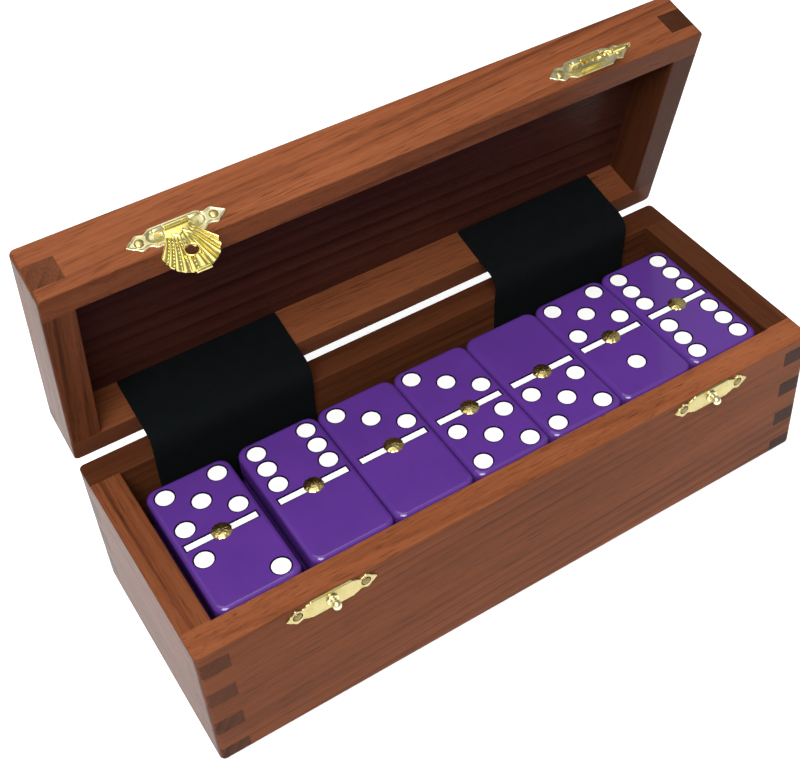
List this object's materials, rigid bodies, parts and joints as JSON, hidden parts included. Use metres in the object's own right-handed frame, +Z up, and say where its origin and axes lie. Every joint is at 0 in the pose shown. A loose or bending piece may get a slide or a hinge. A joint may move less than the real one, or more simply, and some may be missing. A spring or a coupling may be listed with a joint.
{
  "type": "domino storage box",
  "caption": "Long finger-jointed hardwood box with a hinged lid, shell hasps and felt straps, holding a layered set of inlaid domino tiles.",
  "frame": {"origin": "centre of the underside of the closed box's base", "axes": "+X along the box to the right, +Y from the hasps to the hinges, +Z up"},
  "size_m": [0.2, 0.0974, 0.135],
  "materials": {
    "walnut": "satin varnish over straight grain",
    "panel_wood": "satin varnish, dark",
    "brass": "bright pressed plate",
    "gilt_brass": "bright embossed plate",
    "felt": "matt wool felt",
    "tile_resin": "polished, with white inlays"
  },
  "bodies": {
    "base": {"base_front_wall": "walnut", "base_back_wall": "walnut", "base_left_wall": "walnut", "base_right_wall": "walnut", "base_floor": "panel_wood", "hinge_left_base_leaf": "brass", "hinge_right_base_leaf": "brass", "hinge_pins": "brass", "hinge_base_screws": "brass", "catch_left_plate": "brass", "catch_right_plate": "brass", "catch_studs": "brass", "catch_nails": "brass", "strap_left_base": "felt", "strap_right_base": "felt"},
    "lid": {"lid_front_wall": "walnut", "lid_back_wall": "walnut", "lid_left_wall": "walnut", "lid_right_wall": "walnut", "lid_panel": "panel_wood", "hinge_left_lid_leaf": "brass", "hinge_right_lid_leaf": "brass", "hinge_lid_screws": "brass", "hasp_left_plate": "brass", "hasp_right_plate": "brass", "hasp_pins": "brass", "hasp_nails": "brass", "strap_left_lid": "felt", "strap_right_lid": "felt"},
    "hasp_left": {"hasp_left_shell": "gilt_brass"},
    "hasp_right": {"hasp_right_shell": "gilt_brass"},
    "tile_5_2": {"tile_5_2": "tile_resin"},
    "tile_6_0": {"tile_6_0": "tile_resin"},
    "tile_3_0": {"tile_3_0": "tile_resin"},
    "tile_5_3": {"tile_5_3": "tile_resin"},
    "tile_5_0": {"tile_5_0": "tile_resin"},
    "tile_5_1": {"tile_5_1": "tile_resin"},
    "tile_6_6": {"tile_6_6": "tile_resin"},
    "tile_0_0": {"tile_0_0": "tile_resin"},
    "tile_1_0": {"tile_1_0": "tile_resin"},
    "tile_1_1": {"tile_1_1": "tile_resin"},
    "tile_2_0": {"tile_2_0": "tile_resin"},
    "tile_2_1": {"tile_2_1": "tile_resin"},
    "tile_2_2": {"tile_2_2": "tile_resin"},
    "tile_3_1": {"tile_3_1": "tile_resin"},
    "tile_3_2": {"tile_3_2": "tile_resin"},
    "tile_3_3": {"tile_3_3": "tile_resin"},
    "tile_4_0": {"tile_4_0": "tile_resin"},
    "tile_4_1": {"tile_4_1": "tile_resin"},
    "tile_4_2": {"tile_4_2": "tile_resin"},
    "tile_4_3": {"tile_4_3": "tile_resin"},
    "tile_4_4": {"tile_4_4": "tile_resin"},
    "tile_5_4": {"tile_5_4": "tile_resin"},
    "tile_5_5": {"tile_5_5": "tile_resin"},
    "tile_6_1": {"tile_6_1": "tile_resin"},
    "tile_6_2": {"tile_6_2": "tile_resin"},
    "tile_6_3": {"tile_6_3": "tile_resin"},
    "tile_6_4": {"tile_6_4": "tile_resin"},
    "tile_6_5": {"tile_6_5": "tile_resin"}
  },
  "joints": [
    {"name": "lid_hinge", "type": "hinge", "parent": "base", "child": "lid", "pos_m": [0, 0.0385, 0.0483], "axis": [-1, 0, 0], "range_deg": [-76, 0]},
    {"name": "hasp_left_hinge", "type": "hinge", "parent": "lid", "child": "hasp_left", "pos_m": [-0.0623, 0.02464, 0.12539], "axis": [-1, 0, 0], "range_deg": [0, 150]},
    {"name": "hasp_right_hinge", "type": "hinge", "parent": "lid", "child": "hasp_right", "pos_m": [0.0623, 0.02464, 0.12539], "axis": [-1, 0, 0], "range_deg": [-52, 98]},
    {"name": "lift_5_4", "type": "slide", "parent": "base", "child": "tile_5_4", "axis": [0, 0, 1], "range_m": [0, 0.047]},
    {"name": "lift_3_2", "type": "slide", "parent": "tile_5_4", "child": "tile_3_2", "axis": [0, 0, 1], "range_m": [0, 0.0366]},
    {"name": "lift_0_0", "type": "slide", "parent": "tile_3_2", "child": "tile_0_0", "axis": [0, 0, 1], "range_m": [0, 0.0262]},
    {"name": "lift_5_2", "type": "slide", "parent": "tile_0_0", "child": "tile_5_2", "axis": [0, 0, 1], "range_m": [0, 0.0158]},
    {"name": "lift_5_5", "type": "slide", "parent": "base", "child": "tile_5_5", "axis": [0, 0, 1], "range_m": [0, 0.047]},
    {"name": "lift_3_3", "type": "slide", "parent": "tile_5_5", "child": "tile_3_3", "axis": [0, 0, 1], "range_m": [0, 0.0366]},
    {"name": "lift_1_0", "type": "slide", "parent": "tile_3_3", "child": "tile_1_0", "axis": [0, 0, 1], "range_m": [0, 0.0262]},
    {"name": "lift_6_0", "type": "slide", "parent": "tile_1_0", "child": "tile_6_0", "axis": [0, 0, 1], "range_m": [0, 0.0158]},
    {"name": "lift_6_1", "type": "slide", "parent": "base", "child": "tile_6_1", "axis": [0, 0, 1], "range_m": [0, 0.047]},
    {"name": "lift_4_0", "type": "slide", "parent": "tile_6_1", "child": "tile_4_0", "axis": [0, 0, 1], "range_m": [0, 0.0366]},
    {"name": "lift_1_1", "type": "slide", "parent": "tile_4_0", "child": "tile_1_1", "axis": [0, 0, 1], "range_m": [0, 0.0262]},
    {"name": "lift_3_0", "type": "slide", "parent": "tile_1_1", "child": "tile_3_0", "axis": [0, 0, 1], "range_m": [0, 0.0158]},
    {"name": "lift_6_2", "type": "slide", "parent": "base", "child": "tile_6_2", "axis": [0, 0, 1], "range_m": [0, 0.047]},
    {"name": "lift_4_1", "type": "slide", "parent": "tile_6_2", "child": "tile_4_1", "axis": [0, 0, 1], "range_m": [0, 0.0366]},
    {"name": "lift_2_0", "type": "slide", "parent": "tile_4_1", "child": "tile_2_0", "axis": [0, 0, 1], "range_m": [0, 0.0262]},
    {"name": "lift_5_3", "type": "slide", "parent": "tile_2_0", "child": "tile_5_3", "axis": [0, 0, 1], "range_m": [0, 0.0158]},
    {"name": "lift_6_3", "type": "slide", "parent": "base", "child": "tile_6_3", "axis": [0, 0, 1], "range_m": [0, 0.047]},
    {"name": "lift_4_2", "type": "slide", "parent": "tile_6_3", "child": "tile_4_2", "axis": [0, 0, 1], "range_m": [0, 0.0366]},
    {"name": "lift_2_1", "type": "slide", "parent": "tile_4_2", "child": "tile_2_1", "axis": [0, 0, 1], "range_m": [0, 0.0262]},
    {"name": "lift_5_0", "type": "slide", "parent": "tile_2_1", "child": "tile_5_0", "axis": [0, 0, 1], "range_m": [0, 0.0158]},
    {"name": "lift_6_4", "type": "slide", "parent": "base", "child": "tile_6_4", "axis": [0, 0, 1], "range_m": [0, 0.047]},
    {"name": "lift_4_3", "type": "slide", "parent": "tile_6_4", "child": "tile_4_3", "axis": [0, 0, 1], "range_m": [0, 0.0366]},
    {"name": "lift_2_2", "type": "slide", "parent": "tile_4_3", "child": "tile_2_2", "axis": [0, 0, 1], "range_m": [0, 0.0262]},
    {"name": "lift_5_1", "type": "slide", "parent": "tile_2_2", "child": "tile_5_1", "axis": [0, 0, 1], "range_m": [0, 0.0158]},
    {"name": "lift_6_5", "type": "slide", "parent": "base", "child": "tile_6_5", "axis": [0, 0, 1], "range_m": [0, 0.047]},
    {"name": "lift_4_4", "type": "slide", "parent": "tile_6_5", "child": "tile_4_4", "axis": [0, 0, 1], "range_m": [0, 0.0366]},
    {"name": "lift_3_1", "type": "slide", "parent": "tile_4_4", "child": "tile_3_1", "axis": [0, 0, 1], "range_m": [0, 0.0262]},
    {"name": "lift_6_6", "type": "slide", "parent": "tile_3_1", "child": "tile_6_6", "axis": [0, 0, 1], "range_m": [0, 0.0158]}
  ]
}
